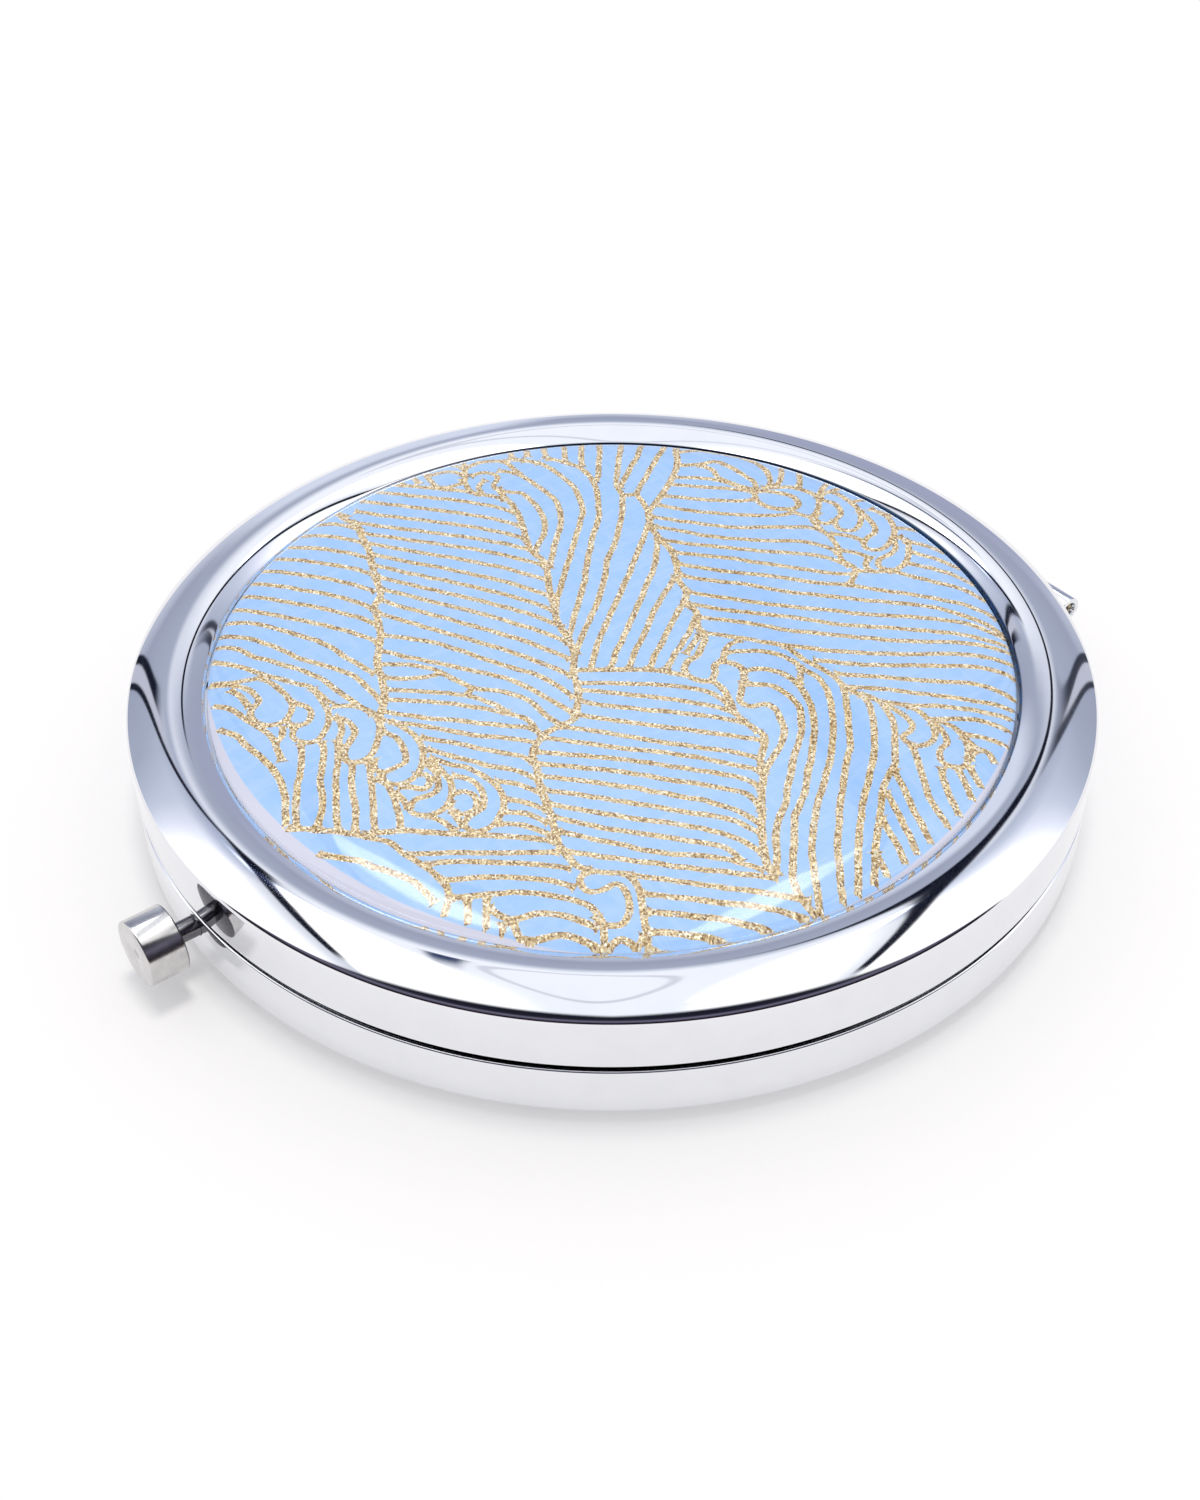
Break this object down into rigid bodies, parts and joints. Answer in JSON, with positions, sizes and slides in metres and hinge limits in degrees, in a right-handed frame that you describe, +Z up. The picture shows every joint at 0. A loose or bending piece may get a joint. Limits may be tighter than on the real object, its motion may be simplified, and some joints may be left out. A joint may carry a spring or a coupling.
{
  "type": "compact mirror",
  "caption": "Round chromed push-button compact mirror with a hinged lid, a clear domed paper insert and a mirror in each half.",
  "frame": {"origin": "centre of the flat underside of the base", "axes": "+Z up through the closed case, -Y towards the push button, +Y towards the hinge, +X to the right seen from the button"},
  "size_m": [0.07, 0.0768, 0.0105],
  "materials": {
    "case_chrome": "mirror-bright plating on pressed metal",
    "frame_chrome": "bright plating, slightly brushed",
    "mirror_glass": "silvered glass with a ground edge",
    "foam_tape": "fine closed-cell foam",
    "backing_card": "plain grey-brown board",
    "hinge_steel": "plated strip, rolled",
    "pin_brass": "drawn wire, slightly dull",
    "rivet_steel": "turned",
    "latch_steel": "stamped, satin",
    "spring_wire": "drawn wire",
    "button_steel": "turned, fine lathe marks",
    "adhesive_film": "clear adhesive film",
    "blue_paper": "light blue paper with glittering gold wave lines",
    "clear_resin": "clear, glossy, domed"
  },
  "bodies": {
    "base": {"base_shell": "case_chrome", "base_frame": "frame_chrome", "base_mirror": "mirror_glass", "base_mirror_pad": "foam_tape", "base_card": "backing_card", "base_hinge_leaf": "hinge_steel", "hinge_pin": "pin_brass", "base_leaf_rivets": "rivet_steel", "latch_guide": "latch_steel", "guide_rivets": "rivet_steel", "return_spring_left": "spring_wire", "return_spring_right": "spring_wire"},
    "button": {"button_cap": "button_steel", "button_stem": "button_steel", "latch_slider": "latch_steel"},
    "lid": {"lid_shell": "case_chrome", "lid_frame": "frame_chrome", "lid_mirror": "mirror_glass", "lid_mirror_pad": "foam_tape", "lid_hinge_leaf": "hinge_steel", "lid_leaf_rivets": "rivet_steel", "lid_catch": "latch_steel", "catch_rivets": "rivet_steel", "insert_film": "adhesive_film", "printed_paper": "blue_paper", "clear_dome": "clear_resin"}
  },
  "joints": [
    {"name": "lid_hinge", "type": "hinge", "parent": "base", "child": "lid", "pos_m": [0, 0.03625, 0.0047], "axis": [-1, 0, 0], "range_deg": [0, 150]},
    {"name": "button_press", "type": "slide", "parent": "base", "child": "button", "axis": [0, 1, 0], "range_m": [0, 0.00095], "stiffness_N_per_m": 300, "springref_m": -0.001, "deforming": ["return_spring_left", "return_spring_right"]}
  ]
}
